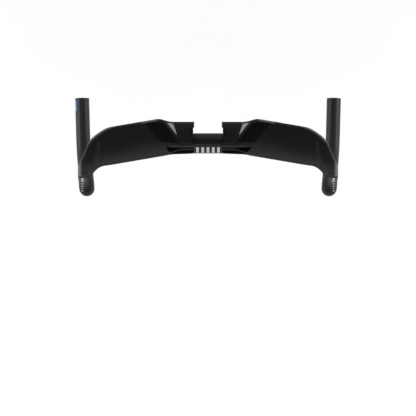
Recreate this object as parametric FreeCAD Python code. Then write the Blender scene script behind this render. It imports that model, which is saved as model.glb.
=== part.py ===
"""Aero road handlebar: one hollow moulded bar and the two caps that close its tail beside the stem.

Frame: the origin is the middle of the stem clamp, X runs along the clamp barrel, forward is -Y and up is +Z.
The bar is built for +X and mirrored, so every size below holds for both sides.
"""
import FreeCAD
import Part
import math
import os
from collections import namedtuple

V = FreeCAD.Vector

# Clamp barrel and the round tube that carries the brake levers, in mm.
clamp_diameter = 31.8
clamp_width = 45.6
clamp_wall = 3.6
tube_diameter = 23.8
tube_wall = 2.0

# Hook and drop: reach and drop are measured from the clamp axis to the tube's centre.
hood_spacing = 385.0
reach = 71.0
drop = 125.0
top_bend_radius = 28.0
front_bend_radius = 93.5
drop_length = 61.0
front_lean = 0.065
hook_lean = 0.165
drop_flare = 0.027
end_chamfer = 0.5

# Wing between the clamp and the ramp.
wing_chord = 59.7
wing_front = 7.9
wing_sweep = 9.7
wing_wall = 2.2
shoulder_step = 0.15
shoulder_gap = 0.6
shoulder_groove = 1.0
tail_peak_x = 76.5
tail_rise = 4.7
blend_start = 53.4
blend_length = 34.0
edge_softness = 0.5

# Ramp where the wing turns into the round tube, in degrees of its bend; its edge is the stop for the bar tape.
ramp_width = 24.1
ramp_height = 25.4
ramp_top = 9.5
ramp_start = 16.0
ramp_end = 30.0
corner_run = 43.5
tape_stop_angle = 24.5
tape_stop_skew = 8.0
tape_stop_run = 2.5
tube_overlap = 4.0
bore_step = 15.0
bore_sides = 12

# Clamp covers.
cover_rear = 33.7
cover_front = -2.5
cover_outer = 40.4
cover_slant = 20.0
cover_corner = 6.0
cover_wall = 2.0
cover_gap = 0.25
cover_lap = 1.2
cover_seat_depth = 1.5
notch_width = 43.4
notch_lip_y = 24.8
pry_slot_width = 2.4
pry_slot_start = 13.5
pry_slot_floor = 8.0
bore_overlap = 10.0

# Cable ports.
wing_port_x = 67.0
wing_port_y = 3.0
wing_port_size = (15.0, 8.0)
ramp_port_y = 9.0
ramp_port_size = (12.0, 7.0)
port_depth = 25.0

# Sizes that follow from the ones above.
clamp_r = clamp_diameter / 2
clamp_half = clamp_width / 2
tube_r = tube_diameter / 2
hood_x = hood_spacing / 2
stop_tilt = math.radians(tape_stop_angle)
ramp_y = -(reach - top_bend_radius - tape_stop_run * math.cos(stop_tilt))
ramp_mid = ramp_top - ramp_height / 2
nose_r = clamp_r + shoulder_step
sweep_slope = math.tan(math.radians(wing_sweep))
shoulder_x = clamp_half + shoulder_gap
swell = tail_peak_x - blend_start
FAR = 400.0

# One wing section: heights and lengths of its nose, flats and tail, measured from the leading edge.
Profile = namedtuple(
    "Profile",
    "nose_z top_f bottom_f nose_u nose_l top_r bottom_r tail_z tail_u tail_l",
)
CENTRE = Profile(0.0, nose_r, -nose_r, nose_r, nose_r, 8.5, -4.5, 2.5, 5.0, 5.0)
PANEL = Profile(-2.0, 10.0, -11.0, 31.0, 15.0, 8.2, -1.5, 3.5, 4.5, 5.0)
RAMP = Profile(
    ramp_mid,
    ramp_top,
    ramp_top - ramp_height,
    0.42 * ramp_width,
    0.42 * ramp_width,
    ramp_top - 0.2,
    ramp_top - ramp_height + 0.4,
    ramp_mid + 1.2,
    0.26 * ramp_width,
    0.38 * ramp_width,
)

Station = namedtuple("Station", "lead trail base tilt profile")


def blend(a, b, w):
    """Profile between a and b."""
    return Profile(*[p + (q - p) * w for p, q in zip(a, b)])


def smooth(x):
    x = max(0.0, min(1.0, x))
    return x * x * (3 - 2 * x)


def leading_edge(x):
    """Forward distance of the leading edge: level at the clamp, then swept."""
    swept = wing_front + sweep_slope * x
    return -((nose_r + swept) / 2 + math.hypot((nose_r - swept) / 2, edge_softness))


def trailing_edge(x):
    """Rear edge: level over the cover, rising to a peak, then swept."""
    swept = wing_chord - wing_front - sweep_slope * x
    level = cover_rear + tail_rise * (max(0.0, x - blend_start) / swell) ** 1.6
    return (level + swept) / 2 - math.hypot((level - swept) / 2, edge_softness)


def panel_station(x):
    profile = blend(CENTRE, PANEL, smooth((x - blend_start) / blend_length))
    lead, trail = leading_edge(x), trailing_edge(x)
    if x <= blend_start:
        profile = profile._replace(nose_u=-lead, nose_l=-lead)
    return Station(V(x, lead, 0), V(x, trail, 0), 0.0, 0.0, profile)


def ramp_station(degrees):
    tilt = math.radians(degrees)
    y = ramp_y - top_bend_radius * math.sin(tilt)
    # The heights turn about the ramp's middle, so the base allows for their lean.
    base = -top_bend_radius * (1 - math.cos(tilt)) + ramp_mid * (1 - math.cos(tilt))
    y += ramp_mid * math.sin(tilt)
    x = hood_x + top_bend_radius * front_lean * (1 - math.cos(tilt))
    lead, trail = V(x - ramp_width / 2, y, 0), V(x + ramp_width / 2, y, 0)
    return Station(lead, trail, base, tilt, RAMP)


# Corner between the panel and the ramp. Each row is one section: how far its leading point, then its trailing
# point, has gone from the panel's end to the ramp's start, along X and along Y.
CORNER = [
    (0.317, 0.091, 0.198, 0.040),
    (0.613, 0.223, 0.459, 0.157),
    (0.785, 0.424, 0.640, 0.276),
    (0.903, 0.630, 0.784, 0.489),
    (0.968, 0.762, 0.904, 0.675),
    (1.000, 0.906, 1.000, 0.871),
]


def part_way(a, b, share_x, share_y):
    return V(a.x + (b.x - a.x) * share_x, a.y + (b.y - a.y) * share_y, 0)


def corner_station(panel_end, ramp, i):
    shares = CORNER[i]
    lead = part_way(panel_end.lead, ramp.lead, *shares[:2])
    trail = part_way(panel_end.trail, ramp.trail, *shares[2:])
    # The sections start to lean with the ramp as their leading edge passes the bend's start.
    ahead = max(0.0, ramp_y - lead.y) / (top_bend_radius * math.sin(ramp.tilt))
    tilt = ramp.tilt * min(1.0, ahead)
    base = -top_bend_radius * (1 - math.cos(tilt))
    profile = blend(PANEL, RAMP, smooth((i + 1) / (len(CORNER) + 1)))
    return Station(lead, trail, base, tilt, profile)


BESIDE = panel_station(notch_width / 2 - shoulder_gap)
INNER = [panel_station(blend_start + swell * share) for share in (0.0, 0.5, 1.0, 1.3)]
PANEL_END = panel_station(hood_x - corner_run)
RAMP_START = ramp_station(ramp_start)
CORNERS = [corner_station(PANEL_END, RAMP_START, i) for i in range(len(CORNER))]
OUTER = [PANEL_END] + CORNERS + [RAMP_START, ramp_station(ramp_end)]
HOLLOW = [BESIDE] + INNER + OUTER[:-1:2]


def rounded(a, corner, b):
    """Quarter turn from a to b, tangent to the lines that meet in corner."""
    k = 0.5523
    return [a, a + (corner - a) * k, b + (corner - b) * k, b]


def bowed(a, corner, b):
    """Shallow arch from a to b with its tangents through corner."""
    return [a, a + (corner - a) * (2 / 3), b + (corner - b) * (2 / 3), b]


def section(station, inset):
    """Poles of the six curves round one section, moved inwards by inset."""
    p = station.profile
    along = station.trail - station.lead
    chord = along.Length - 2 * inset
    along.normalize()
    ahead = V(along.y, -along.x, 0)
    up = ahead * math.sin(station.tilt) + V(0, 0, math.cos(station.tilt))
    start = station.lead + along * inset + V(0, 0, station.base)
    top_f, top_r = p.top_f - inset, p.top_r - inset
    low_f, low_r = p.bottom_f + inset, p.bottom_r + inset
    nose_u, nose_l = p.nose_u - 0.6 * inset, p.nose_l - 0.6 * inset
    tail_u, tail_l = p.tail_u - 0.6 * inset, p.tail_l - 0.6 * inset
    top_mid, low_mid = (nose_u + chord - tail_u) / 2, (nose_l + chord - tail_l) / 2
    top_slope = (top_r - top_f) / (chord - tail_u - top_mid)
    low_slope = (low_r - low_f) / (chord - tail_l - low_mid)

    def at(s, z):
        return start + along * s + up * z

    nose, tail = at(0, p.nose_z), at(chord, p.tail_z)
    a, b = at(nose_u, top_f), at(chord - tail_u, top_r)
    c, d = at(chord - tail_l, low_r), at(nose_l, low_f)
    return [
        rounded(nose, at(0, top_f), a),
        bowed(a, at(top_mid, top_f), b),
        rounded(b, at(chord, top_r + top_slope * tail_u), tail),
        rounded(tail, at(chord, low_r + low_slope * tail_l), c),
        bowed(c, at(low_mid, low_f), d),
        rounded(d, at(0, low_f), nose),
    ]


def end_face(rows):
    edges = []
    for row in rows:
        curve = Part.BezierCurve()
        curve.setPoles(row)
        edges.append(curve.toShape())
    return Part.Face(Part.Wire(edges))


def spans(stations):
    """Distance along the wing at each station, for the skins' parameters."""
    steps = [0.0]
    for s, t in zip(stations, stations[1:]):
        step = (t.lead.distanceToPoint(s.lead) + t.trail.distanceToPoint(s.trail)) / 2
        steps.append(steps[-1] + step)
    return steps


def skins(stations, start_like, end_like):
    """Six smooth faces over a run of sections; start_like and end_like are the pairs that they run into."""
    lead_in, lead_out = spans(start_like)[1], spans(end_like)[1]
    rows, t = [section(s, 0.0) for s in stations], spans(stations)
    before, after = [section(s, 0.0) for s in start_like], [section(s, 0.0) for s in end_like]
    faces = []
    for k in range(len(rows[0])):
        columns = []
        for j in range(len(rows[0][k])):
            first = (before[1][k][j] - before[0][k][j]) * (1 / lead_in)
            last = (after[1][k][j] - after[0][k][j]) * (1 / lead_out)
            points = [r[k][j] for r in rows]
            curve = Part.BSplineCurve()
            ends = {"InitialTangent": first, "FinalTangent": last, "Scale": False}
            curve.interpolate(Points=points, Parameters=t, **ends)
            columns.append(curve)
        knots, mults = columns[0].getKnots(), columns[0].getMultiplicities()
        skin = Part.BSplineSurface()
        poles = [c.getPoles() for c in columns]
        skin.buildFromPolesMultsKnots(poles, [4, 4], mults, [0, 1], knots, False, False, 3, 3)
        faces.append(skin.toShape())
    return faces


def straight_skins(first, last):
    """Six ruled faces between two sections."""
    faces = []
    for a, b in zip(section(first, 0.0), section(last, 0.0)):
        skin = Part.BSplineSurface()
        poles = [list(pair) for pair in zip(a, b)]
        skin.buildFromPolesMultsKnots(poles, [4, 4], [2, 2], [0, 1], [0, 1], False, False, 3, 1)
        faces.append(skin.toShape())
    return faces


def solid_of(faces):
    shell = Part.makeCompound(faces)
    shell.sewShape()
    solid = Part.Solid(shell.Shells[0])
    if solid.Volume < 0:
        solid.reverse()
    return solid


def wing():
    """Outside of the wing: beside the clamp, the swelling tail, the straight panel and the corner."""
    beside, panel = [BESIDE, INNER[0]], [INNER[-1], OUTER[0]]
    faces = straight_skins(*beside) + straight_skins(*panel)
    faces += skins(INNER, beside, panel)
    faces += skins(OUTER, panel, OUTER[-2:])
    faces += [end_face(section(BESIDE, 0.0)), end_face(section(OUTER[-1], 0.0))]
    return solid_of(faces)


def wing_hollow(inset):
    """Inside of the wing, in flats from section to section: two corners to each arch."""
    wires = []
    for station in HOLLOW:
        corners = []
        for a, b, c, d in section(station, inset):
            corners += [a, (a + (b + c) * 3 + d) * 0.125]
        wires.append(Part.makePolygon(corners + corners[:1]))
    return Part.makeLoft(wires, True, True)


def cylinder_x(radius, x0, x1):
    return Part.makeCylinder(radius, x1 - x0, V(x0, 0, 0), V(1, 0, 0))


def unit(x, y, z):
    v = V(x, y, z)
    v.normalize()
    return v


def stop_point():
    """Middle of the ramp where the tape ends."""
    y = ramp_y - top_bend_radius * math.sin(stop_tilt)
    return V(hood_x, y, ramp_mid - top_bend_radius * (1 - math.cos(stop_tilt)))


START = V(0, -math.cos(stop_tilt), -math.sin(stop_tilt))
DOWN = unit(front_lean, 0, -1)
UNDER = unit(hook_lean, 0.69, -0.69)
BACK = unit(drop_flare, 1, 0)
Bend = namedtuple("Bend", "start heading axis centre turn")


def along(bend, share):
    """Point of a bend's centre-line after a share of its turn."""
    turn = FreeCAD.Rotation(bend.axis, bend.turn * share)
    return bend.centre + turn.multVec(bend.start - bend.centre)


def hook_bends():
    """The hook's three bends, and the point where the straight drop starts."""
    point, heading, bends = stop_point() + START * tape_stop_run, START, []
    for new_heading, radius in ((DOWN, top_bend_radius), (UNDER, front_bend_radius), (BACK, None)):
        turn = heading.getAngle(new_heading)
        if radius is None:
            # The last bend levels out at the drop.
            radius = (point.z + drop) / (-heading.z * math.tan(turn / 2))
        axis = heading.cross(new_heading)
        axis.normalize()
        centre = point + axis.cross(heading) * radius
        bends.append(Bend(point, heading, axis, centre, math.degrees(turn)))
        point, heading = along(bends[-1], 1.0), new_heading
    return bends, point


def tube():
    """Outside of the hook and drop: a short run through the tape stop, three bends and the straight drop."""
    bends, end = hook_bends()
    run_in = stop_point() - START * tube_overlap
    pieces = [Part.makeCylinder(tube_r, tube_overlap + tape_stop_run, run_in, START)]
    for b in bends:
        disc = Part.Face(Part.Wire(Part.makeCircle(tube_r, b.start, b.heading)))
        pieces.append(disc.revolve(b.centre, b.axis, b.turn))
    straight = Part.makeCylinder(tube_r, drop_length, end, BACK)
    rim = max(straight.Edges, key=lambda e: e.CenterOfMass.y)
    pieces.append(straight.makeChamfer(end_chamfer, [rim]))
    return pieces[0].fuse(pieces[1:])


def tube_hollow():
    """Inside of the hook and drop, mitred in short straight lengths."""
    bends, end = hook_bends()
    points = [stop_point() - START * (tube_overlap + wing_wall)]
    for b in bends:
        steps = math.ceil(b.turn / bore_step)
        points += [along(b, i / steps) for i in range(steps)]
    points += [end, end + BACK * tube_overlap]
    circle = Part.Circle(points[0], START, tube_r - tube_wall)
    corners = [circle.value(2 * math.pi * i / bore_sides) for i in range(bore_sides + 1)]
    bends_hollow = Part.makePolygon(points).makePipeShell([Part.makePolygon(corners)], True, False, 1)
    straight = Part.makeCylinder(tube_r - tube_wall, drop_length + tube_overlap, end, BACK)
    return bends_hollow.fuse(straight)


def half_space(point, normal):
    """Large block on the side of a plane that normal points to."""
    size = 2 * FAR
    block = Part.makeBox(size, size, size, V(-size / 2, -size / 2, 0))
    block.Placement = FreeCAD.Placement(point, FreeCAD.Rotation(V(0, 0, 1), normal))
    return block


def cover_plan(inner_x, inset):
    """Plan outline of the space for one cover, from the clamp's side out to the slanted seam."""
    slope = math.tan(math.radians(cover_slant))
    shift = inset / math.cos(math.radians(cover_slant))
    rear_y = 2 * cover_rear
    front_y = cover_front + inset
    a, b = V(inner_x, front_y, 0), V(cover_outer - shift + slope * inset, front_y, 0)
    c, d = V(b.x + slope * (rear_y - front_y), rear_y, 0), V(inner_x, rear_y, 0)
    radius = cover_corner - inset
    reach_in = radius * math.tan(math.radians(90 - cover_slant) / 2)
    out = unit(c.x - b.x, c.y - b.y, 0)
    p, q = b - V(reach_in, 0, 0), b + out * reach_in
    middle = V(p.x, p.y + radius, 0)
    toward = unit(b.x - middle.x, b.y - middle.y, 0)
    arc = Part.Arc(p, middle + toward * radius, q).toShape()
    lines = [Part.makeLine(a, p), arc, Part.makeLine(q, c), Part.makeLine(c, d), Part.makeLine(d, a)]
    return Part.Face(Part.Wire(lines))


def cover_block(inner_x, inset):
    """Space for one cover. Its lower half is wider, so that the seam is lapped and no light shows through."""
    upper, lower = cover_plan(inner_x, inset), cover_plan(inner_x, inset - cover_lap)
    lower.translate(V(0, 0, -FAR))
    upper.translate(V(0, 0, -FAR))
    return upper.extrude(V(0, 0, 2 * FAR)).fuse(lower.extrude(V(0, 0, FAR - inset)))


def slot(size, centre, along, out, depth):
    """Oval hole: size is its length and width, along its long direction, out the way it opens."""
    length, width = size
    side = out.cross(along)
    run = along * ((length - width) / 2)
    rim = side * (width / 2)
    a, b, c, d = centre - run - rim, centre + run - rim, centre + run + rim, centre - run + rim
    edges = [
        Part.makeLine(a, b),
        Part.Arc(b, centre + run + along * (width / 2), c).toShape(),
        Part.makeLine(c, d),
        Part.Arc(d, centre - run - along * (width / 2), a).toShape(),
    ]
    return Part.Face(Part.Wire(edges)).extrude(out * depth)


def stop_normal():
    """Direction that the tape stop faces, skewed so that its outer side lies further forward."""
    skew = math.radians(tape_stop_skew)
    return unit(-math.sin(skew), -math.cos(skew) * math.cos(stop_tilt), -math.sin(stop_tilt))


full_wing = wing()
slant_cut = math.radians(cover_slant)
seam_normal = V(math.cos(slant_cut), -math.sin(slant_cut), 0)

# Outside of the bar.
outer = full_wing.cut(half_space(stop_point(), stop_normal()))
outer = outer.cut(half_space(V(shoulder_x, 0, 0), V(-1, 0, 0)))
groove = cylinder_x(clamp_r - shoulder_groove, clamp_half, shoulder_x + shoulder_gap)
outer = outer.fuse(groove).cut(cover_block(0.0, 0.0))
barrel = cylinder_x(clamp_r, 0, clamp_half)
seat_r = clamp_r - cover_seat_depth
seat = cylinder_x(seat_r, clamp_half, cover_outer + bore_overlap)
outer = outer.fuse([barrel, seat, tube()])

# Hollow of the bar.
inner = wing_hollow(wing_wall)
behind_seam = V(cover_outer + (cover_lap + wing_wall) / math.cos(slant_cut), cover_front, 0)
inner = inner.cut(half_space(behind_seam, seam_normal * -1))
bore = cylinder_x(clamp_r - clamp_wall, -bore_overlap, cover_outer + bore_overlap)
inner = inner.fuse([bore, tube_hollow()])

half_bar = outer.cut(inner)
LOWER = V(0, 0, -1)
wing_port = slot(wing_port_size, V(wing_port_x, wing_port_y, ramp_mid), V(1, 0, 0), LOWER, port_depth)
ramp_port_at = V(hood_x, ramp_y + ramp_port_y, ramp_mid)
ramp_port = slot(ramp_port_size, ramp_port_at, V(0, 1, 0), LOWER, port_depth)
half_bar = half_bar.cut(wing_port).cut(ramp_port)
bar_shell = half_bar.fuse(half_bar.mirror(V(0, 0, 0), V(1, 0, 0))).removeSplitter()

# Cover beside the clamp, with its stepped edge along the stem.
cover = full_wing.common(cover_block(notch_width / 2, cover_gap))
relief = Part.makeBox(shoulder_x, FAR + notch_lip_y, 2 * FAR, V(0, -FAR, -FAR))
pry_from = V(shoulder_x, pry_slot_start, pry_slot_floor)
pry = Part.makeBox(pry_slot_width, notch_lip_y - pry_slot_start, FAR, pry_from)
cover = cover.cut([relief, pry, cylinder_x(seat_r + cover_gap, 0, FAR)])
hollow = wing_hollow(cover_wall)
hollow = hollow.common(cover_block(shoulder_x + pry_slot_width + cover_wall, cover_gap + cover_wall))
cover = cover.cut(hollow)

os.makedirs("parts", exist_ok=True)
bar_shell.exportStep("parts/bar_shell.step")
cover.exportStep("parts/left_clamp_cover.step")
cover.mirror(V(0, 0, 0), V(1, 0, 0)).exportStep("parts/right_clamp_cover.step")
for name, shape in (("bar_shell", bar_shell), ("left_clamp_cover", cover)):
    print(name, shape.isValid(), len(shape.Solids), round(shape.Volume), shape.BoundBox)
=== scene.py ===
# %% [markdown]
# # An aero road handlebar
# A one-piece moulded bar with flat wing tops, round hooks and drops, and two snap-in covers beside the
# stem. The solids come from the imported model, in metres, and this lesson gives them their finish.
# Everything stays at the origin in the model's own frame: X along the clamp barrel, forward is -Y, up
# is +Z.

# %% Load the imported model
import math
import bmesh
import bpy
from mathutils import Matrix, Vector


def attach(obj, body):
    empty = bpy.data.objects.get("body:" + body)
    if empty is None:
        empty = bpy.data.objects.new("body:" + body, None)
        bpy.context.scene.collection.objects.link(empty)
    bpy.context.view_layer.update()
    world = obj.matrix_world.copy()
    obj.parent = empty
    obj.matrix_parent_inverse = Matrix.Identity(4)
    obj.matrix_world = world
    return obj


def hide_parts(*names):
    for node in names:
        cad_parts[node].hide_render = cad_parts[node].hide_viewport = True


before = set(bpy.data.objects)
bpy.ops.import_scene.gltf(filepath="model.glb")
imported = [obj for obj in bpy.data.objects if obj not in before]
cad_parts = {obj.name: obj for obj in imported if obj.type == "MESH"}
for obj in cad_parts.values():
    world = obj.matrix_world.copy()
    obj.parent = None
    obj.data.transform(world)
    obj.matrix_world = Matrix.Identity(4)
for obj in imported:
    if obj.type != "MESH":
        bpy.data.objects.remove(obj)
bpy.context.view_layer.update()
MM = 0.001

# %% [markdown]
# ## Camera
# The bar was photographed from straight above with a long lens, so its plan can be read like a drawing.
# A camera could be fitted by eye, but two known round sizes at different heights fix it:
# the barrel and the drop tube give the scale at their levels, and so the camera's height and lens.

# %% Camera straight above
IMAGE_SIDE = 416
SCALE_AT_BARREL = 1.571 * MM
CAMERA_HEIGHT = 1.754
IMAGE_CENTRE_Y = -0.1016
SENSOR = 36.0

camera_data = bpy.data.cameras.new("camera_above")
camera_data.sensor_width = SENSOR
camera_data.lens = SENSOR * CAMERA_HEIGHT / (IMAGE_SIDE * SCALE_AT_BARREL)
camera = bpy.data.objects.new("camera_above", camera_data)
camera.location = (0.0, IMAGE_CENTRE_Y, CAMERA_HEIGHT)
bpy.context.scene.collection.objects.link(camera)
bpy.context.scene.camera = camera
bpy.context.scene.view_settings.view_transform = "Standard"
print("lens in mm:", round(camera_data.lens, 2))

# %% [markdown]
# ## Two small helpers
# A shader is a graph of nodes. One function adds a node with its settings and links, so that each
# material below reads as a list of what it is made of. Colours are written as sRGB hex, as on a paint
# card, and turned to the linear values that the renderer adds up.


# %% Helpers for colours and nodes
def paint(hex_code):
    """Linear RGBA of an sRGB hex colour."""
    parts = [int(hex_code[i:i + 2], 16) / 255 for i in (1, 3, 5)]
    return tuple(c / 12.92 if c <= 0.04045 else ((c + 0.055) / 1.055) ** 2.4 for c in parts) + (1.0,)


def add(tree, kind, settings=None, inputs=None):
    """One node: settings are its own properties, inputs are values or sockets to link."""
    node = tree.nodes.new(kind)
    for name, value in (settings or {}).items():
        setattr(node, name, value)
    for key, value in (inputs or {}).items():
        if isinstance(value, bpy.types.NodeSocket):
            tree.links.new(value, node.inputs[key])
        else:
            node.inputs[key].default_value = value
    return node


print("satin black in linear light:", [round(v, 4) for v in paint("#121213")])

# %% [markdown]
# ## Studio
# Black lacquer shows its surroundings more than its own colour. A dark zenith keeps the flat tops
# dark, as under a camera on a boom, and soft boxes low on each side draw the highlights along the tubes.
# A single overhead light would be simpler, but it would turn the tops grey.

# %% World: pale round the horizon, dark overhead
HORIZON = "#ffffff"
ZENITH = "#3c3d3f"
HORIZON_UP_TO = 0.12
ZENITH_FROM = 0.75
WORLD_LEVEL = 0.6

world = bpy.data.worlds.new("studio")
bpy.context.scene.world = world
world.use_nodes = True
sky = world.node_tree
sky.nodes.clear()
direction = add(sky, "ShaderNodeTexCoord")
height = add(sky, "ShaderNodeSeparateXYZ", inputs={0: direction.outputs["Generated"]})
shade = add(sky, "ShaderNodeValToRGB", inputs={0: height.outputs["Z"]})
shade.color_ramp.elements[0].position = HORIZON_UP_TO
shade.color_ramp.elements[0].color = paint(HORIZON)
shade.color_ramp.elements[1].position = ZENITH_FROM
shade.color_ramp.elements[1].color = paint(ZENITH)
backdrop = add(sky, "ShaderNodeBackground", inputs={
    "Color": shade.outputs["Color"], "Strength": WORLD_LEVEL})
add(sky, "ShaderNodeOutputWorld", inputs={"Surface": backdrop.outputs[0]})
print("world from", HORIZON, "to", ZENITH)

# %% Soft boxes
# Name, place and size in metres, and radiance, 1 being paper white.
SOFT_BOXES = (
    ("left_box", (1.25, -0.05, 0.40), (1.2, 0.80), 3.5),
    ("right_box", (-1.25, -0.05, 0.40), (1.2, 0.80), 3.5),
    ("front_box", (0.0, -1.30, 0.62), (1.8, 0.4), 4.2),
    ("high_front_box", (0.0, -0.95, 1.25), (1.8, 0.7), 2.2),
    ("rear_box", (0.0, 1.40, 0.50), (1.6, 0.4), 3.0),
)
for name, place, size, radiance in SOFT_BOXES:
    lamp = bpy.data.lights.new(name, "AREA")
    lamp.shape = "RECTANGLE"
    lamp.size, lamp.size_y = size
    lamp.energy = radiance * math.pi * size[0] * size[1]
    holder = bpy.data.objects.new(name, lamp)
    holder.location = place
    holder.rotation_euler = (-Vector(place)).to_track_quat("-Z", "Y").to_euler()
    bpy.context.scene.collection.objects.link(holder)
    print(name, "W:", round(lamp.energy, 1))

# %% [markdown]
# ## Floor
# The bar is held by its clamp above a paper sweep. The floor is a plain sheet far enough below that
# its shadow is soft. A grey sheet takes the shadow, and rays that look at it, directly or in a
# reflection, get the light that it lacks to read as white. More light on the bar would do that too, but
# it would also wash out the black.

# %% Pale floor
FLOOR_Z = -0.34
FLOOR_SIDE = 12.0
PAPER = "#8c8c8c"
PAPER_LIFT = 0.735

half_side = FLOOR_SIDE / 2
corners = [(sx * half_side, sy * half_side, FLOOR_Z) for sx, sy in ((-1, -1), (1, -1), (1, 1), (-1, 1))]
floor_mesh = bpy.data.meshes.new("floor")
floor_mesh.from_pydata(corners, [], [(0, 1, 2, 3)])
floor = bpy.data.objects.new("floor", floor_mesh)
bpy.context.scene.collection.objects.link(floor)
paper = bpy.data.materials.new("paper_sweep")
paper.use_nodes = True
sheet = paper.node_tree
sheet.nodes.clear()
rays = add(sheet, "ShaderNodeLightPath")
seen = add(sheet, "ShaderNodeMath", {"operation": "ADD"},
           {0: rays.outputs["Is Camera Ray"], 1: rays.outputs["Is Glossy Ray"]})
seen = add(sheet, "ShaderNodeMath", {"operation": "ADD", "use_clamp": True},
           {0: seen.outputs[0], 1: rays.outputs["Is Transmission Ray"]})
lift = add(sheet, "ShaderNodeMath", {"operation": "MULTIPLY"}, {0: seen.outputs[0], 1: PAPER_LIFT})
matt = add(sheet, "ShaderNodeBsdfDiffuse", inputs={"Color": paint(PAPER)})
glow = add(sheet, "ShaderNodeEmission", inputs={"Color": paint("#ffffff"), "Strength": lift.outputs[0]})
both = add(sheet, "ShaderNodeAddShader", inputs={0: matt.outputs[0], 1: glow.outputs[0]})
add(sheet, "ShaderNodeOutputMaterial", inputs={"Surface": both.outputs[0]})
floor_mesh.materials.append(paper)
print("floor at", FLOOR_Z, "m")

# %% [markdown]
# ## Fields of paint
# The bar carries a few painted fields: a slanted black band and a grey wedge on each wing, and a small
# label on one drop. Other fields are painted light: paler tones as painted highlights on some edges, the
# ramps and the nose, and darker tones as painted shade in seams and at the tape stops. All this could be cut
# from the mesh, but paint has no thickness, so the material draws it. Each field is a flat outline in
# millimetres, and a point is as far inside it as it is from the nearest edge. X is taken without its
# sign, so one outline serves both wings.

# %% Outlines of the painted fields, in mm
BAND = [(97.7, 30.8), (70.3, 32.3), (45.2, 0.5), (72.8, 0.5)]
BAND_LINE = [(67.0, 32.0), (65.6, 32.0), (48.6, 9.4), (50.0, 9.4)]
WEDGE = [(64.1, 31.9), (56.6, 30.9), (53.8, 28.6), (48.4, 12.2)]
# The front and the rim are painted light: the front of each wing is painted paler, a painted sheen, and a
# strip along the top of the nose is a painted highlight.
FRONT = [(45.0, 0.4), (45.0, -40.0), (140.0, -40.0), (140.0, 0.4)]
RIM = [(60.0, -4.4), (20.0, -4.4), (20.0, -7.0), (60.0, -7.0)]
COVER_EDGE = [(21.0, -2.5), (36.2, -2.5), (39.9, -1.2), (41.8, 1.5), (53.9, 34.5), (21.0, 34.5)]
# The heel is a painted highlight along the rear corner edge of each wing. Only the last edges of the heel
# follow the rear corner; the others lie far off the bar.
HEEL = [(-50.0, 106.6), (-50.0, -200.0), (220.0, -200.0), (220.0, -30.5),
        (183.6, 5.9), (172.4, 15.3), (163.0, 21.4)]
# The tail is a painted highlight on the rear edge behind each band.
TAIL = [(79.0, 34.9), (104.5, 30.1), (104.5, 45.0), (79.0, 45.0)]
# A pale band in the corner of each wing: a painted highlight that stands in for a faint crease.
FACET = [(171.6, -36.0), (178.6, -36.0), (173.4, 2.0), (167.4, 2.0)]
# The label lies on the flank of the drop, so its outline is in Y and Z.
END_LABEL = [(60.9, -132.6), (78.6, -132.6), (78.6, -117.4), (60.9, -117.4)]
for name, outline in (("band", BAND), ("line", BAND_LINE), ("wedge", WEDGE), ("label", END_LABEL)):
    area = 0.5 * sum(a[0] * b[1] - b[0] * a[1] for a, b in zip(outline, outline[1:] + outline[:1]))
    print(name, "field, mm2:", round(area, 1))


# %% How far inside an outline
def depth_inside(tree, place, outline):
    """Distance in mm to the nearest edge of a convex outline, given anticlockwise: positive inside."""
    nearest = None
    for a, b in zip(outline, outline[1:] + outline[:1]):
        inward = Vector((a[1] - b[1], b[0] - a[0], 0.0)).normalized()
        start = inward.dot(Vector((a[0], a[1], 0.0)))
        reach = add(tree, "ShaderNodeVectorMath", {"operation": "DOT_PRODUCT"}, {0: place, 1: inward})
        inside = add(tree, "ShaderNodeMath", {"operation": "SUBTRACT"}, {
            0: reach.outputs["Value"], 1: start})
        if nearest is not None:
            inside = add(tree, "ShaderNodeMath", {"operation": "MINIMUM"}, {
                0: nearest, 1: inside.outputs[0]})
        nearest = inside.outputs[0]
    return nearest


print("edges of the band and the heel:", len(BAND), len(HEEL))

# %% [markdown]
# ## Satin lacquer on moulded carbon
# The bar is laid up from carbon fibre, moulded in one piece and sprayed with a thin satin lacquer. To the
# eye that is a deep black with a broad, soft highlight, a trace of the tows beneath and a faint orange
# peel. Highlights on some edges and shade in seams are painted into its colour. A weave could be drawn, but
# this lay-up shows none.

# %% Places on the lacquered bar, in mm
lacquer = bpy.data.materials.new("satin_lacquer_on_moulded_carbon")
lacquer.use_nodes = True
coat = lacquer.node_tree
coat.nodes.clear()
where = add(coat, "ShaderNodeTexCoord")
in_mm = add(coat, "ShaderNodeVectorMath", {"operation": "SCALE"}, {
    0: where.outputs["Object"], "Scale": 1 / MM})
axes = add(coat, "ShaderNodeSeparateXYZ", inputs={0: in_mm.outputs[0]})
side = add(coat, "ShaderNodeMath", {"operation": "ABSOLUTE"}, {0: axes.outputs["X"]})
plan = add(coat, "ShaderNodeCombineXYZ", inputs={
    "X": side.outputs[0], "Y": axes.outputs["Y"], "Z": axes.outputs["Z"]}).outputs[0]
print("place nodes:", len(coat.nodes))

# %% Masks of the fields on the top of the wings
TOP_FROM = (2.1, 2.9)
# Each field, its outline and the blur of its edge in mm.
TOP_FIELDS = (
    ("band", BAND, 0.35), ("line", BAND_LINE, 0.3), ("wedge", WEDGE, 0.25),
    ("front", FRONT, 0.6), ("rim", RIM, 0.5), ("facet", FACET, 1.6),
)
on_top = add(coat, "ShaderNodeMapRange", inputs={
    "Value": axes.outputs["Z"], "From Min": TOP_FROM[0], "From Max": TOP_FROM[1]}).outputs["Result"]
fields = {}
for name, outline, blur in TOP_FIELDS:
    painted = add(coat, "ShaderNodeMapRange", {"interpolation_type": "SMOOTHSTEP"}, {
        "Value": depth_inside(coat, plan, outline), "From Min": -blur, "From Max": blur})
    fields[name] = add(coat, "ShaderNodeMath", {"operation": "MULTIPLY"}, {
        0: painted.outputs["Result"], 1: on_top}).outputs[0]
print("fields:", sorted(fields))
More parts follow.
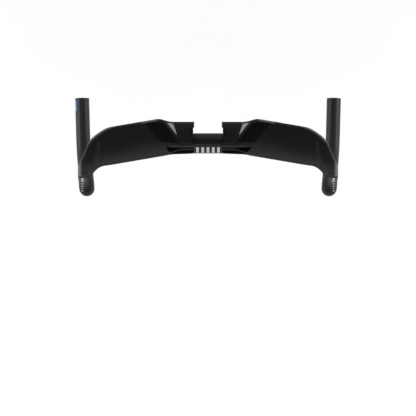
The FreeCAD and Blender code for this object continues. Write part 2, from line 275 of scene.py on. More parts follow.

# %% A painted sheen on the front of the wings, fading out along them, and painted shade in the seam round the covers
FRONT_FADE = (95.0, 140.0)
FRONT_SHARE = 0.7
SEAM_WIDTH = 1.0
fade_out = add(coat, "ShaderNodeMapRange", {"interpolation_type": "SMOOTHSTEP"}, {
    "Value": side.outputs[0], "From Min": FRONT_FADE[0], "From Max": FRONT_FADE[1],
    "To Min": FRONT_SHARE, "To Max": 0.0})
fields["front"] = add(coat, "ShaderNodeMath", {"operation": "MULTIPLY"}, {
    0: fields["front"], 1: fade_out.outputs["Result"]}).outputs[0]
# A dark band just outside each cover's outline: painted shade in the seam between cover and bar.
beside_cover = add(coat, "ShaderNodeMapRange", inputs={
    "Value": depth_inside(coat, plan, COVER_EDGE), "From Min": -SEAM_WIDTH, "From Max": -SEAM_WIDTH / 2})
fields["seam"] = add(coat, "ShaderNodeMath", {"operation": "MULTIPLY"}, {
    0: beside_cover.outputs["Result"], 1: on_top}).outputs[0]
print("fields:", sorted(fields))

# %% The end of the lacquer at the tape stops
TAPE_POINT = Vector((192.5, -48.7, -4.1))
TAPE_NORMAL = Vector((-0.139, -0.901, -0.415))
# The ramps ahead of the stops are painted paler, a painted highlight, less so on the inner side. At the
# lacquer's edge a pale lip is a painted highlight and a dark line a painted shadow. Each of them starts and
# is full so far past the stop, in mm.
STOP_FIELDS = (("rubbed", -34.0, 0.0), ("lip", -3.4, -2.4), ("stop", -1.7, -1.1))
RAMP_SHEEN_X = (176.0, 190.0)
RAMP_SHEEN_INNER_SHARE = 0.35
along = add(coat, "ShaderNodeVectorMath", {"operation": "DOT_PRODUCT"}, {0: plan, 1: TAPE_NORMAL})
past = add(coat, "ShaderNodeMath", {"operation": "SUBTRACT"}, {
    0: along.outputs["Value"], 1: TAPE_NORMAL.dot(TAPE_POINT)})
for name, start, full in STOP_FIELDS:
    fields[name] = add(coat, "ShaderNodeMapRange", {"interpolation_type": "SMOOTHERSTEP"}, {
        "Value": past.outputs[0], "From Min": start, "From Max": full}).outputs["Result"]
outer_side = add(coat, "ShaderNodeMapRange", {"interpolation_type": "SMOOTHSTEP"}, {
    "Value": side.outputs[0], "From Min": RAMP_SHEEN_X[0], "From Max": RAMP_SHEEN_X[1],
    "To Min": RAMP_SHEEN_INNER_SHARE, "To Max": 1.0})
fields["rubbed"] = add(coat, "ShaderNodeMath", {"operation": "MULTIPLY"}, {
    0: fields["rubbed"], 1: outer_side.outputs["Result"]}).outputs[0]
print("fields:", sorted(fields))

# %% Painted highlights on edges: the rear corner, the rear edge behind each band and the ramps' shoulders
HEEL_WIDTH = (1.5, 3.6)
TAIL_BLUR = (-0.6, 1.2)
# The shoulder is a painted highlight on the outer top of each ramp.
SHOULDER_X = (196.0, 201.2)
SHOULDER_Z = (-2.0, 3.0)
SHOULDER_PAST = (-28.0, -14.0)
fields["heel"] = add(coat, "ShaderNodeMapRange", {"interpolation_type": "SMOOTHSTEP"}, {
    "Value": depth_inside(coat, plan, HEEL), "From Min": HEEL_WIDTH[0], "From Max": HEEL_WIDTH[1],
    "To Min": 1.0, "To Max": 0.0}).outputs["Result"]
fields["tail"] = add(coat, "ShaderNodeMapRange", {"interpolation_type": "SMOOTHSTEP"}, {
    "Value": depth_inside(coat, plan, TAIL), "From Min": TAIL_BLUR[0],
    "From Max": TAIL_BLUR[1]}).outputs["Result"]
fields["shoulder"] = 1.0
for measure, (start, full) in ((axes.outputs["Z"], SHOULDER_Z), (side.outputs[0], SHOULDER_X),
                               (past.outputs[0], SHOULDER_PAST)):
    part = add(coat, "ShaderNodeMapRange", {"interpolation_type": "SMOOTHSTEP"}, {
        "Value": measure, "From Min": start, "From Max": full})
    fields["shoulder"] = add(coat, "ShaderNodeMath", {"operation": "MULTIPLY"}, {
        0: part.outputs["Result"], 1: fields["shoulder"]}).outputs[0]
print("fields:", sorted(fields))

# %% Tows, orange peel and handling marks
# Real tows are under a millimetre wide; they are drawn wider so that a trace of them shows.
TOW_WIDTH = 3.0
TOW_SQUEEZE = 0.02
PEEL = 1.6
HANDLING = 50.0
tow_scale = add(coat, "ShaderNodeMapping", inputs={
    "Vector": in_mm.outputs[0], "Scale": (TOW_SQUEEZE / TOW_WIDTH, 1 / TOW_WIDTH, 1 / TOW_WIDTH)})
tows = add(coat, "ShaderNodeTexNoise", inputs={
    "Vector": tow_scale.outputs[0], "Scale": 1.0, "Detail": 3.0})
peel = add(coat, "ShaderNodeTexNoise", inputs={
    "Vector": in_mm.outputs[0], "Scale": 1 / PEEL, "Detail": 2.0})
handled = add(coat, "ShaderNodeTexNoise", inputs={
    "Vector": in_mm.outputs[0], "Scale": 1 / HANDLING, "Detail": 4.0})
print("tow, peel and handling sizes in mm:", TOW_WIDTH, PEEL, HANDLING)

# %% Layers of colour, from the lacquer up
SATIN = "#121213"
FIBRE = "#171718"
# Most of these layers are painted light: the corner crease, the ramps, the rear corner edge, the ramps'
# shoulders, the strip along the nose, the lip at the tape stops and the strip behind each band are painted
# highlights, the front of the wings a painted sheen, and the seam round the covers and the line at the tape
# stops painted shade. The tows, the band, its line and the wedge are the bar's own colours.
LAYERS = (
    ("facet", "#1f1f20"), ("rubbed", "#2b2b2c"), ("heel", "#5e5e5f"), ("shoulder", "#69696a"),
    ("front", "#1b1b1c"), ("seam", "#09090a"), ("rim", "#242425"), ("lip", "#343435"),
    ("stop", "#050505"), ("band", "#0f0f0f"), ("tail", "#626263"), ("line", "#2b2b2c"),
    ("wedge", "#9b9b9b"),
)
colour = add(coat, "ShaderNodeMix", {"data_type": "RGBA"}, {
    0: tows.outputs["Fac"], 6: paint(SATIN), 7: paint(FIBRE)}).outputs[2]
for name, tint in LAYERS:
    colour = add(coat, "ShaderNodeMix", {"data_type": "RGBA"}, {
        0: fields[name], 6: colour, 7: paint(tint)}).outputs[2]
print("layers:", len(LAYERS))

# %% Gloss of each layer, and the finished lacquer
SATIN_ROUGH = 0.45
LAYER_ROUGH = (("stop", 0.55), ("band", 0.22), ("wedge", 0.40))
SMEAR = 0.04
# Nearly all of a noise lies between these two.
NOISE_LOW, NOISE_HIGH = 0.3, 0.7
PEEL_BUMP = 0.04
PEEL_DEPTH = 0.1 * MM
# Less mirror-like than a plain IOR of 1.5 gives, because the satin's flatting agent scatters it.
SATIN_SPECULAR = 0.13
rough = SATIN_ROUGH
for name, level in LAYER_ROUGH:
    rough = add(coat, "ShaderNodeMix", {"data_type": "FLOAT"}, {
        0: fields[name], 2: rough, 3: level}).outputs[0]
smear = add(coat, "ShaderNodeMapRange", inputs={
    "Value": handled.outputs["Fac"], "From Min": NOISE_LOW, "From Max": NOISE_HIGH,
    "To Min": -SMEAR, "To Max": SMEAR})
rough = add(coat, "ShaderNodeMath", {"operation": "ADD"}, {0: rough, 1: smear.outputs["Result"]}).outputs[0]
skin = add(coat, "ShaderNodeBump", inputs={
    "Height": peel.outputs["Fac"], "Strength": PEEL_BUMP, "Distance": PEEL_DEPTH})
finish = add(coat, "ShaderNodeBsdfPrincipled", inputs={
    "Base Color": colour, "Roughness": rough, "Normal": skin.outputs[0],
    "IOR": 1.5, "Specular IOR Level": SATIN_SPECULAR})
add(coat, "ShaderNodeOutputMaterial", inputs={"Surface": finish.outputs[0]})
print("lacquer nodes:", len(coat.nodes))

# %% [markdown]
# ## Bare moulded carbon
# Past the tape stops the hooks and drops stay as they leave the mould, because tape will cover them. To
# the eye the cured resin is a little greyer than the lacquer, with a narrower highlight and long
# tows just showing. The hooks are painted darker towards the front, a painted shade. On top of the hooks
# the seats for the levers are blasted, so that a clamp holds: they look matt, and their outer side is
# painted paler, a painted highlight of the light from the side. One material could serve lacquer and
# carbon, but their gloss differs, and the strength of a gloss is best set on the shader itself.

# %% Places and tows of the bare carbon
# Real tows are under a millimetre wide; they are drawn wider so that a trace of them shows.
BARE_TOW = 2.5
BARE_SQUEEZE = 0.08
HOOK_FADE = (-42.0, -62.0)
END_LABEL_X = -210.0
LABEL_BLUR = 0.2
bare = bpy.data.materials.new("bare_moulded_carbon")
bare.use_nodes = True
cured = bare.node_tree
cured.nodes.clear()
bare_at = add(cured, "ShaderNodeTexCoord")
bare_mm = add(cured, "ShaderNodeVectorMath", {"operation": "SCALE"}, {
    0: bare_at.outputs["Object"], "Scale": 1 / MM})
bare_axes = add(cured, "ShaderNodeSeparateXYZ", inputs={0: bare_mm.outputs[0]})
flank = add(cured, "ShaderNodeCombineXYZ", inputs={
    "X": bare_axes.outputs["Y"], "Y": bare_axes.outputs["Z"]}).outputs[0]
squeezed = BARE_SQUEEZE / BARE_TOW
bare_scale = add(cured, "ShaderNodeMapping", inputs={
    "Vector": bare_mm.outputs[0], "Scale": (1 / BARE_TOW, squeezed, squeezed)})
bare_tows = add(cured, "ShaderNodeTexNoise", inputs={
    "Vector": bare_scale.outputs[0], "Scale": 1.0, "Detail": 3.0})
# The hooks are painted darker towards the front, a painted shade.
hook = add(cured, "ShaderNodeMapRange", {"interpolation_type": "SMOOTHSTEP"}, {
    "Value": bare_axes.outputs["Y"], "From Min": HOOK_FADE[0], "From Max": HOOK_FADE[1]})
stuck = add(cured, "ShaderNodeMapRange", inputs={
    "Value": depth_inside(cured, flank, END_LABEL), "From Min": -LABEL_BLUR, "From Max": LABEL_BLUR})
outboard = add(cured, "ShaderNodeMath", {"operation": "LESS_THAN"}, {
    0: bare_axes.outputs["X"], 1: END_LABEL_X})
label = add(cured, "ShaderNodeMath", {"operation": "MULTIPLY"}, {
    0: stuck.outputs["Result"], 1: outboard.outputs[0]})
print("tow width in mm:", BARE_TOW)

# %% Lever seats on top of the hooks
SEAT_LEVEL = (-45.0, -20.0)
SEAT_ACROSS = (184.0, 199.0)
SEAT_FRONT = (-56.0, -76.0)
seat_top = add(cured, "ShaderNodeMapRange", {"interpolation_type": "SMOOTHSTEP"}, {
    "Value": bare_axes.outputs["Z"], "From Min": SEAT_LEVEL[0], "From Max": SEAT_LEVEL[1]})
seat = add(cured, "ShaderNodeMath", {"operation": "MULTIPLY"}, {
    0: seat_top.outputs["Result"], 1: hook.outputs["Result"]})
bare_side = add(cured, "ShaderNodeMath", {"operation": "ABSOLUTE"}, {0: bare_axes.outputs["X"]})
# The seat is painted paler towards its outer side, a painted highlight, and darker towards the front, a
# painted shade.
seat_out = add(cured, "ShaderNodeMapRange", {"interpolation_type": "SMOOTHSTEP"}, {
    "Value": bare_side.outputs[0], "From Min": SEAT_ACROSS[0], "From Max": SEAT_ACROSS[1]})
seat_front = add(cured, "ShaderNodeMapRange", {"interpolation_type": "SMOOTHSTEP"}, {
    "Value": bare_axes.outputs["Y"], "From Min": SEAT_FRONT[0], "From Max": SEAT_FRONT[1]})
print("seat from", SEAT_ACROSS[0], "to", SEAT_ACROSS[1], "mm across")

# %% Colours of the bare carbon
RESIN = "#222223"
RESIN_PALE = "#29292a"
# A painted shade for the hooks and the front of the seats.
HOOK_SHADE = "#0c0c0d"
SEAT_INNER = "#272728"
# A painted highlight on the outer side of the seats.
SEAT_OUTER_HIGHLIGHT = "#585859"
LABEL_BLUE = "#4ea2e0"
seat_tone = add(cured, "ShaderNodeMix", {"data_type": "RGBA"}, {
    0: seat_out.outputs["Result"], 6: paint(SEAT_INNER), 7: paint(SEAT_OUTER_HIGHLIGHT)}).outputs[2]
seat_tone = add(cured, "ShaderNodeMix", {"data_type": "RGBA"}, {
    0: seat_front.outputs["Result"], 6: seat_tone, 7: paint(HOOK_SHADE)}).outputs[2]
resin = add(cured, "ShaderNodeMix", {"data_type": "RGBA"}, {
    0: bare_tows.outputs["Fac"], 6: paint(RESIN), 7: paint(RESIN_PALE)}).outputs[2]
for mask, tint in ((hook.outputs["Result"], paint(HOOK_SHADE)), (seat.outputs[0], seat_tone),
                   (label.outputs[0], paint(LABEL_BLUE))):
    resin = add(cured, "ShaderNodeMix", {"data_type": "RGBA"}, {0: mask, 6: resin, 7: tint}).outputs[2]
print("resin from", RESIN, "to", HOOK_SHADE)

# %% Gloss and bump of the bare carbon
BARE_ROUGH = 0.38
BARE_SMEAR = 0.04
BARE_SPECULAR = 0.27
TOW_BUMP = 0.05
TOW_DEPTH = 0.1 * MM
SEAT_ROUGH = 0.50
SEAT_SPECULAR = 0.08
bare_gloss = add(cured, "ShaderNodeMapRange", inputs={
    "Value": bare_tows.outputs["Fac"], "From Min": NOISE_LOW, "From Max": NOISE_HIGH,
    "To Min": BARE_ROUGH - BARE_SMEAR, "To Max": BARE_ROUGH + BARE_SMEAR})
bare_bump = add(cured, "ShaderNodeBump", inputs={
    "Height": bare_tows.outputs["Fac"], "Strength": TOW_BUMP, "Distance": TOW_DEPTH})
raw = add(cured, "ShaderNodeBsdfPrincipled", inputs={
    "Base Color": resin, "Roughness": bare_gloss.outputs["Result"], "Normal": bare_bump.outputs[0],
    "IOR": 1.5, "Specular IOR Level": BARE_SPECULAR})
blasted = add(cured, "ShaderNodeBsdfPrincipled", inputs={
    "Base Color": resin, "Roughness": SEAT_ROUGH, "Normal": bare_bump.outputs[0],
    "IOR": 1.5, "Specular IOR Level": SEAT_SPECULAR})
carbon = add(cured, "ShaderNodeMixShader", inputs={
    0: seat.outputs[0], 1: raw.outputs[0], 2: blasted.outputs[0]})
add(cured, "ShaderNodeOutputMaterial", inputs={"Surface": carbon.outputs[0]})
print("bare carbon nodes:", len(cured.nodes))

# %% [markdown]
# ## Matt moulded nylon
# The two covers are injection moulded from black nylon in a spark-eroded mould. To the eye that is a
# fine even grain with hardly any gloss. Their edges are painted a little paler, a painted highlight.
# Grain could be sculpted, but it is so fine that a bump is enough.

# %% Places and grain of the nylon
# A real mould's grain is about 0.3 mm; it is drawn coarser so that it shows.
GRAIN = 1.2
FLOW = 16.0
nylon = bpy.data.materials.new("matt_moulded_nylon")
nylon.use_nodes = True
shot = nylon.node_tree
shot.nodes.clear()
spot = add(shot, "ShaderNodeTexCoord")
spot_mm = add(shot, "ShaderNodeVectorMath", {"operation": "SCALE"}, {
    0: spot.outputs["Object"], "Scale": 1 / MM})
spot_axes = add(shot, "ShaderNodeSeparateXYZ", inputs={0: spot_mm.outputs[0]})
spot_side = add(shot, "ShaderNodeMath", {"operation": "ABSOLUTE"}, {0: spot_axes.outputs["X"]})
spot_plan = add(shot, "ShaderNodeCombineXYZ", inputs={
    "X": spot_side.outputs[0], "Y": spot_axes.outputs["Y"]}).outputs[0]
grain = add(shot, "ShaderNodeTexVoronoi", inputs={"Vector": spot_mm.outputs[0], "Scale": 1 / GRAIN})
flow = add(shot, "ShaderNodeTexNoise", inputs={
    "Vector": spot_mm.outputs[0], "Scale": 1 / FLOW, "Detail": 4.0})
print("grain and flow sizes in mm:", GRAIN, FLOW)

# %% Colour, gloss and bump of the nylon
NYLON = "#0f0f10"
NYLON_PALE = "#151516"
# A painted highlight for the covers' edges.
NYLON_EDGE = "#1f1f20"
EDGE_WIDTH = (1.2, 1.8)
NYLON_ROUGH = 0.52
NYLON_SMEAR = 0.05
# Spark erosion leaves a surface that scatters most of the mirror-like part.
NYLON_SPECULAR = 0.11
GRAIN_BUMP = 0.06
GRAIN_DEPTH = 0.2 * MM
tone = add(shot, "ShaderNodeMix", {"data_type": "RGBA"}, {
    0: flow.outputs["Fac"], 6: paint(NYLON), 7: paint(NYLON_PALE)})
# The cover's edge is painted paler: a painted highlight.
edge_highlight = add(shot, "ShaderNodeMapRange", inputs={
    "Value": depth_inside(shot, spot_plan, COVER_EDGE), "From Min": EDGE_WIDTH[0], "From Max": EDGE_WIDTH[1],
    "To Min": 1.0, "To Max": 0.0})
tone = add(shot, "ShaderNodeMix", {"data_type": "RGBA"}, {
    0: edge_highlight.outputs["Result"], 6: tone.outputs[2], 7: paint(NYLON_EDGE)})
gloss = add(shot, "ShaderNodeMapRange", inputs={
    "Value": flow.outputs["Fac"], "From Min": NOISE_LOW, "From Max": NOISE_HIGH,
    "To Min": NYLON_ROUGH - NYLON_SMEAR, "To Max": NYLON_ROUGH + NYLON_SMEAR})
pits = add(shot, "ShaderNodeBump", inputs={
    "Height": grain.outputs["Distance"], "Strength": GRAIN_BUMP, "Distance": GRAIN_DEPTH})
moulded = add(shot, "ShaderNodeBsdfPrincipled", inputs={
    "Base Color": tone.outputs[2], "Roughness": gloss.outputs["Result"], "Normal": pits.outputs[0],
    "IOR": 1.53, "Specular IOR Level": NYLON_SPECULAR})
add(shot, "ShaderNodeOutputMaterial", inputs={"Surface": moulded.outputs[0]})
print("nylon nodes:", len(shot.nodes))

# %% [markdown]
# ## Smooth skins of the three mouldings
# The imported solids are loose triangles, so their facets would show in a gloss. A copy with its
# doubled points merged can be shaded smooth, and edges that turn sharply are kept crisp. The bar's skin is
# then cut at the tape stops, so that the lacquer ends and the bare carbon starts on a clean line.

# %% Smooth copies that stand for the solids
MERGE = 0.006 * MM
CRISP_ANGLE = math.radians(28)


def smooth_skin(node, piece_name, material):
    """Merged and smoothly shaded copy of a solid, which then stands for it."""
    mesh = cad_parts[node].data.copy()
    mesh.name = piece_name
    work = bmesh.new()
    work.from_mesh(mesh)
    bmesh.ops.remove_doubles(work, verts=work.verts, dist=MERGE)
    for face in work.faces:
        face.smooth = True
    for edge in work.edges:
        edge.smooth = edge.calc_face_angle(math.pi) < CRISP_ANGLE
    work.to_mesh(mesh)
    open_edges = sum(1 for edge in work.edges if len(edge.link_faces) != 2)
    work.free()
    mesh.materials.clear()
    mesh.materials.append(material)
    piece = bpy.data.objects.new(piece_name, mesh)
    bpy.context.scene.collection.objects.link(piece)
    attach(piece, "root")
    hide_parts(node)
    print(piece_name, "triangles:", len(mesh.polygons), "open edges:", open_edges)
    return piece


bar = smooth_skin("bar_shell", "bar_skin", lacquer)
smooth_skin("left_clamp_cover", "left_cover_skin", nylon)
smooth_skin("right_clamp_cover", "right_cover_skin", nylon)

# %% Bare carbon past the tape stops
TAPE_LEVEL = -22.0
work = bmesh.new()
work.from_mesh(bar.data)
cuts = [(Vector((0.0, 0.0, TAPE_LEVEL)), Vector((0.0, 0.0, -1.0)))]
for hand in (1.0, -1.0):
    cuts.append((Vector((hand * TAPE_POINT.x, *TAPE_POINT.yz)),
                 Vector((hand * TAPE_NORMAL.x, *TAPE_NORMAL.yz))))
for at, away in cuts:
    everything = work.verts[:] + work.edges[:] + work.faces[:]
    bmesh.ops.bisect_plane(work, geom=everything, dist=MERGE, plane_co=at * MM, plane_no=away)
for face in work.faces:
    middle = face.calc_center_median() / MM
    middle.x = abs(middle.x)
    if max(TAPE_NORMAL.dot(middle - TAPE_POINT), TAPE_LEVEL - middle.z) > 0.0:
        face.material_index = 1
work.to_mesh(bar.data)
open_edges = sum(1 for edge in work.edges if len(edge.link_faces) != 2)
work.free()
bar.data.materials.append(bare)
print("bare faces:", sum(face.material_index for face in bar.data.polygons), "open edges:", open_edges)

# %% [markdown]
# ## Black screen print along the nose
# The nose beside the clamp carries a black printed inlay. A lighter line swept through it is a painted
# highlight along the crease where the nose turns down, and on the upper side of that line the ink is painted
# paler towards the barrel, a painted sheen. To the eye the ink is deeper and more matt than the lacquer
# round it, so it is a thin film of its own: a copy of the skin is cut back by a few planes to the inlay's
# outline and given a film's thickness.

# %% Places on the inlay and its swept line
# The swept line follows a crease of the nose; it is a painted highlight.
SWEEP = [(62.6, -16.0), (56.3, -14.5), (50.0, -12.6), (45.3, -11.1), (39.0, -10.7), (23.0, -10.7)]
SWEEP_HALF = 0.7
ink = bpy.data.materials.new("matt_screen_print_black")
ink.use_nodes = True
stencil = ink.node_tree
stencil.nodes.clear()
ink_at = add(stencil, "ShaderNodeTexCoord")
ink_mm = add(stencil, "ShaderNodeVectorMath", {"operation": "SCALE"}, {
    0: ink_at.outputs["Object"], "Scale": 1 / MM})
ink_axes = add(stencil, "ShaderNodeSeparateXYZ", inputs={0: ink_mm.outputs[0]})
ink_side = add(stencil, "ShaderNodeMath", {"operation": "ABSOLUTE"}, {0: ink_axes.outputs["X"]})
ink_plan = add(stencil, "ShaderNodeCombineXYZ", inputs={
    "X": ink_side.outputs[0], "Y": ink_axes.outputs["Y"]}).outputs[0]
stroke = None
for a, b in zip(SWEEP, SWEEP[1:]):
    run = Vector((b[0] - a[0], b[1] - a[1], 0.0)).normalized()
    out = Vector((-run.y, run.x, 0.0)) * SWEEP_HALF
    strip = [(a[0] - out.x, a[1] - out.y), (b[0] - out.x, b[1] - out.y),
             (b[0] + out.x, b[1] + out.y), (a[0] + out.x, a[1] + out.y)]
    depth = depth_inside(stencil, ink_plan, strip)
    if stroke is not None:
        depth = add(stencil, "ShaderNodeMath", {"operation": "MAXIMUM"}, {0: stroke, 1: depth}).outputs[0]
    stroke = depth
print("strokes of the swept line:", len(SWEEP) - 1)

# %% Colours of the inlay
INK_BLACK = "#020202"
# A painted sheen on the upper side of the crease near the barrel, and a painted highlight along the crease.
INK_UPPER_SHEEN = "#17171a"
CREASE_HIGHLIGHT = "#2d2d2e"
FADE_X = (37.0, 52.0)
UNDER_SWEEP = [(23.0, -10.7), (23.0, -30.0), (66.0, -30.0), (62.6, -16.0), (50.0, -12.6), (39.0, -10.7)]
UNDER_BLUR = 0.35
SWEEP_BLUR = 0.3
# Paler towards the barrel: the painted sheen fades into the black ink.
fade = add(stencil, "ShaderNodeMapRange", {"interpolation_type": "SMOOTHSTEP"}, {
    "Value": ink_side.outputs[0], "From Min": FADE_X[0], "From Max": FADE_X[1]})
lower = add(stencil, "ShaderNodeMapRange", inputs={
    "Value": depth_inside(stencil, ink_plan, UNDER_SWEEP), "From Min": -UNDER_BLUR, "From Max": UNDER_BLUR})
swept = add(stencil, "ShaderNodeMapRange", inputs={
    "Value": stroke, "From Min": -SWEEP_BLUR, "From Max": SWEEP_BLUR})
ink_tone = add(stencil, "ShaderNodeMix", {"data_type": "RGBA"}, {
    0: fade.outputs["Result"], 6: paint(INK_UPPER_SHEEN), 7: paint(INK_BLACK)}).outputs[2]
for mask, tint in ((lower, INK_BLACK), (swept, CREASE_HIGHLIGHT)):
    ink_tone = add(stencil, "ShaderNodeMix", {"data_type": "RGBA"}, {
        0: mask.outputs["Result"], 6: ink_tone, 7: paint(tint)}).outputs[2]
print("ink from", INK_UPPER_SHEEN, "to", INK_BLACK)

# %% Gloss and bump of the inlay
SPECK = 1.25
INK_ROUGH = (0.45, 0.60)
INK_BUMP = 0.03
INK_DEPTH = 0.1 * MM
INK_SPECULAR = 0.01
specks = add(stencil, "ShaderNodeTexNoise", inputs={
    "Vector": ink_mm.outputs[0], "Scale": 1 / SPECK, "Detail": 3.0})
ink_rough = add(stencil, "ShaderNodeMapRange", inputs={
    "Value": specks.outputs["Fac"], "From Min": NOISE_LOW, "From Max": NOISE_HIGH,
    "To Min": INK_ROUGH[0], "To Max": INK_ROUGH[1]})
ink_bump = add(stencil, "ShaderNodeBump", inputs={
    "Height": specks.outputs["Fac"], "Strength": INK_BUMP, "Distance": INK_DEPTH})
printed = add(stencil, "ShaderNodeBsdfPrincipled", inputs={
    "Base Color": ink_tone, "Roughness": ink_rough.outputs["Result"], "Normal": ink_bump.outputs[0],
    "IOR": 1.5, "Specular IOR Level": INK_SPECULAR})
add(stencil, "ShaderNodeOutputMaterial", inputs={"Surface": printed.outputs[0]})
print("inlay nodes:", len(stencil.nodes))

# %% Cut the film from a copy of the skin
FILM = 0.05 * MM
SECTION_CORE = Vector((0.0, 4.0 * MM, 0.0))
# Planes in mm, as a point and the direction of what is cut away.
INLAY_SIDES = [
    ((23.6, -6.9, 0.0), (-0.935, 0.354, 0.0)),
    ((0.0, -6.9, 0.0), (0.0, 1.0, 0.0)),
    ((0.0, 0.0, -4.0), (0.0, 0.0, -1.0)),
]
# The two prints are not quite alike at their outer ends.
INLAY_ENDS = {
    1.0: ((69.3, -6.9, 0.0), (0.668, -0.745, 0.0)),
    -1.0: ((65.5, -8.0, 0.0), (0.8, -0.6, 0.0)),
}


def film_on(skin_piece, piece_name, sides, ends, material):
    """Thin film on both wings: what a skin keeps on the inner side of each plane."""
    mesh = bpy.data.meshes.new(piece_name)
    sheet_of_both = bmesh.new()
    for hand in (1.0, -1.0):
        work = bmesh.new()
        work.from_mesh(skin_piece.data)
        for point, outward in sides + [ends[hand]]:
            at = Vector((hand * point[0], point[1], point[2])) * MM
            away = Vector((hand * outward[0], outward[1], outward[2]))
            everything = work.verts[:] + work.edges[:] + work.faces[:]
            bmesh.ops.bisect_plane(work, geom=everything, plane_co=at, plane_no=away, clear_outer=True)
        inner = []
        for face in work.faces:
            reach = face.calc_center_median() - SECTION_CORE
            if face.normal.y * reach.y + face.normal.z * reach.z < 0:
                inner.append(face)
        bmesh.ops.delete(work, geom=inner, context="FACES")
        half = bpy.data.meshes.new("film_half")
        work.to_mesh(half)
        sheet_of_both.from_mesh(half)
        bpy.data.meshes.remove(half)
        work.free()
    sheet_of_both.normal_update()
    under = sheet_of_both.faces[:]
    grown = bmesh.ops.extrude_face_region(sheet_of_both, geom=under)
    bmesh.ops.delete(sheet_of_both, geom=[f for f in under if f.is_valid], context="FACES_ONLY")
    for vert in (g for g in grown["geom"] if isinstance(g, bmesh.types.BMVert)):
        vert.co += vert.normal * FILM
    for face in sheet_of_both.faces:
        face.smooth = True
    sheet_of_both.to_mesh(mesh)
    sheet_of_both.free()
    mesh.materials.append(material)
    piece = bpy.data.objects.new(piece_name, mesh)
    bpy.context.scene.collection.objects.link(piece)
    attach(piece, "root")
    print(piece_name, "faces:", len(mesh.polygons))


film_on(bar, "nose_inlay", INLAY_SIDES, INLAY_ENDS, ink)

# %% [markdown]
# ## Printed scales
# Rows of small marks help to set the bar and the levers: a fine row and a row of broad plain bars on the
# barrel, and a scale with a longer datum on each hook. They repeat along a line and lie on a curved skin,
# which Geometry Nodes do well: a line of points, one small grid on each, pressed straight down onto the
# skin and given a film's thickness. One tree serves all the rows through its named inputs.

# %% Inks of the scales
# Screen print is a thin opaque ink: to the eye a flat tone, slightly mottled and half matt.
PRINT_INKS = (
    ("pale_screen_print", "#b4b4b4", "#a6a6a6"),
    ("worn_screen_print", "#989898", "#848484"),
    ("faint_screen_print", "#363637", "#2e2e2f"),
)
MOTTLE_PER_MM = 0.9
PRINT_ROUGH = (0.40, 0.55)
PRINT_SPECULAR = 0.2
inks = {}
for ink_name, tint, worn in PRINT_INKS:
    shade_of = bpy.data.materials.new(ink_name)
    shade_of.use_nodes = True
    screen = shade_of.node_tree
    screen.nodes.clear()
    on = add(screen, "ShaderNodeTexCoord")
    on_mm = add(screen, "ShaderNodeVectorMath", {"operation": "SCALE"}, {
        0: on.outputs["Object"], "Scale": 1 / MM})
    mottle = add(screen, "ShaderNodeTexNoise", inputs={
        "Vector": on_mm.outputs[0], "Scale": MOTTLE_PER_MM, "Detail": 3.0})
    tint_of = add(screen, "ShaderNodeMix", {"data_type": "RGBA"}, {
        0: mottle.outputs["Fac"], 6: paint(tint), 7: paint(worn)})
    dull = add(screen, "ShaderNodeMapRange", inputs={
        "Value": mottle.outputs["Fac"], "From Min": NOISE_LOW, "From Max": NOISE_HIGH,
        "To Min": PRINT_ROUGH[0], "To Max": PRINT_ROUGH[1]})
    wet = add(screen, "ShaderNodeBsdfPrincipled", inputs={
        "Base Color": tint_of.outputs[2], "Roughness": dull.outputs["Result"],
        "IOR": 1.5, "Specular IOR Level": PRINT_SPECULAR})
    add(screen, "ShaderNodeOutputMaterial", inputs={"Surface": wet.outputs[0]})
    inks[ink_name] = shade_of
print("inks:", sorted(inks))

# %% Inputs of a tree for a row of marks
INPUTS = (
    ("Skin", "NodeSocketObject"), ("Count", "NodeSocketInt"), ("First", "NodeSocketVector"),
    ("Step", "NodeSocketVector"), ("Width", "NodeSocketFloat"), ("Length", "NodeSocketFloat"),
    ("Turn", "NodeSocketFloat"), ("Film", "NodeSocketFloat"), ("Ink", "NodeSocketMaterial"),
)
marks = bpy.data.node_groups.new("row_of_marks", "GeometryNodeTree")
named = {}
for label_of, kind in INPUTS:
    named[label_of] = marks.interface.new_socket(label_of, in_out="INPUT", socket_type=kind).identifier
marks.interface.new_socket("Geometry", in_out="OUTPUT", socket_type="NodeSocketGeometry")
given = add(marks, "NodeGroupInput")
print("inputs:", list(named))

# %% Marks in a row, pressed onto the skin and given a thickness
GRID_ACROSS = 3
GRID_ALONG = 13
RAY_LENGTH = 1.0
WELD = 0.001 * MM
line_of = add(marks, "GeometryNodeMeshLine", {"mode": "OFFSET"}, {
    "Count": given.outputs["Count"], "Start Location": given.outputs["First"],
    "Offset": given.outputs["Step"]})
mark = add(marks, "GeometryNodeMeshGrid", inputs={
    "Size X": given.outputs["Width"], "Size Y": given.outputs["Length"],
    "Vertices X": GRID_ACROSS, "Vertices Y": GRID_ALONG})
turn = add(marks, "ShaderNodeCombineXYZ", inputs={"Z": given.outputs["Turn"]})
row = add(marks, "GeometryNodeInstanceOnPoints", inputs={
    "Points": line_of.outputs["Mesh"], "Instance": mark.outputs["Mesh"], "Rotation": turn.outputs[0]})
flat = add(marks, "GeometryNodeRealizeInstances", inputs={0: row.outputs[0]})
skin_of = add(marks, "GeometryNodeObjectInfo", inputs={"Object": given.outputs["Skin"]})
press = add(marks, "GeometryNodeRaycast", inputs={
    "Target Geometry": skin_of.outputs["Geometry"], "Ray Direction": (0.0, 0.0, -1.0),
    "Ray Length": RAY_LENGTH})
rise = add(marks, "ShaderNodeVectorMath", {"operation": "SCALE"}, {
    0: press.outputs["Hit Normal"], "Scale": given.outputs["Film"]})
landed = add(marks, "ShaderNodeVectorMath", {"operation": "ADD"}, {
    0: press.outputs["Hit Position"], 1: rise.outputs[0]})
pressed = add(marks, "GeometryNodeSetPosition", inputs={
    "Geometry": flat.outputs[0], "Position": landed.outputs[0]})
raised = add(marks, "GeometryNodeExtrudeMesh", {"mode": "FACES"}, {
    "Mesh": pressed.outputs[0], "Offset Scale": given.outputs["Film"], "Individual": False})
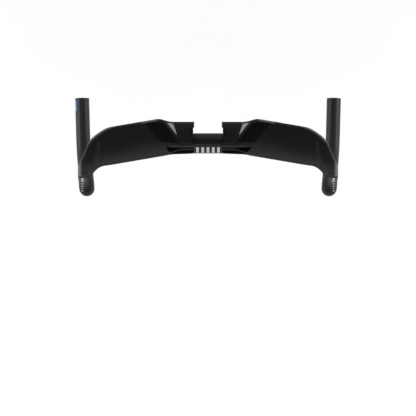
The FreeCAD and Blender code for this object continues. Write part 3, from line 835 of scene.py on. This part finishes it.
under_side = add(marks, "GeometryNodeFlipFaces", inputs={"Mesh": pressed.outputs[0]})
closed = add(marks, "GeometryNodeJoinGeometry")
marks.links.new(under_side.outputs[0], closed.inputs[0])
marks.links.new(raised.outputs["Mesh"], closed.inputs[0])
welded = add(marks, "GeometryNodeMergeByDistance", inputs={
    "Geometry": closed.outputs[0], "Distance": WELD})
real = add(marks, "GeometryNodeRealizeInstances", inputs={0: welded.outputs[0]})
inked = add(marks, "GeometryNodeSetMaterial", inputs={
    "Geometry": real.outputs[0], "Material": given.outputs["Ink"]})
add(marks, "NodeGroupOutput", inputs={0: inked.outputs[0]})
print("tree of", len(marks.nodes), "nodes")

# %% Make one row a plain mesh
PRESS_FROM = 30.0


def row_of_marks(piece_name, first, step, count, width, length, turn_deg, ink_of):
    """One printed row in mm, in plan, pressed onto the bar and made a plain mesh."""
    empty = bpy.data.meshes.new(piece_name + "_base")
    maker = bpy.data.objects.new(piece_name + "_maker", empty)
    bpy.context.scene.collection.objects.link(maker)
    nodes = maker.modifiers.new("marks", "NODES")
    nodes.node_group = marks
    values = {
        "Skin": bar, "Count": count, "First": (first[0] * MM, first[1] * MM, PRESS_FROM * MM),
        "Step": (step[0] * MM, step[1] * MM, 0.0), "Width": width * MM, "Length": length * MM,
        "Turn": math.radians(turn_deg), "Film": FILM, "Ink": ink_of,
    }
    for label_of, value in values.items():
        nodes[named[label_of]] = value
    bpy.context.view_layer.update()
    ready = maker.evaluated_get(bpy.context.evaluated_depsgraph_get())
    mesh = bpy.data.meshes.new_from_object(ready)
    mesh.name = piece_name
    mesh.materials.clear()
    mesh.materials.append(ink_of)
    for face in mesh.polygons:
        face.material_index = 0
    piece = bpy.data.objects.new(piece_name, mesh)
    bpy.context.scene.collection.objects.link(piece)
    bpy.data.objects.remove(maker)
    bpy.data.meshes.remove(empty)
    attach(piece, "root")
    print(piece_name, "faces:", len(mesh.polygons))


print("marks are pressed down from", PRESS_FROM, "mm")

# %% Rows on the barrel and on the hooks
pale = inks["pale_screen_print"]
faint = inks["faint_screen_print"]
worn_ink = inks["worn_screen_print"]
HOOK_TURN = -8.0
row_of_marks("clamp_fine_scale", first=(-19.2, -3.0), step=(2.4, 0.0), count=17,
             width=0.9, length=2.6, turn_deg=0.0, ink_of=faint)
row_of_marks("clamp_bars", first=(-16.4, -10.9), step=(8.2, 0.0), count=5,
             width=4.2, length=8.0, turn_deg=0.0, ink_of=pale)
for hand_name, hand in (("left", 1.0), ("right", -1.0)):
    row_of_marks(hand_name + "_lever_datum", first=(hand * 196.7, -57.6), step=(0.0, 0.0), count=1,
                 width=3.2, length=5.6, turn_deg=hand * HOOK_TURN, ink_of=pale)
    row_of_marks(hand_name + "_lever_scale", first=(hand * 197.2, -63.7), step=(hand * 0.35, -3.6), count=4,
                 width=3.0, length=1.5, turn_deg=hand * HOOK_TURN, ink_of=worn_ink)
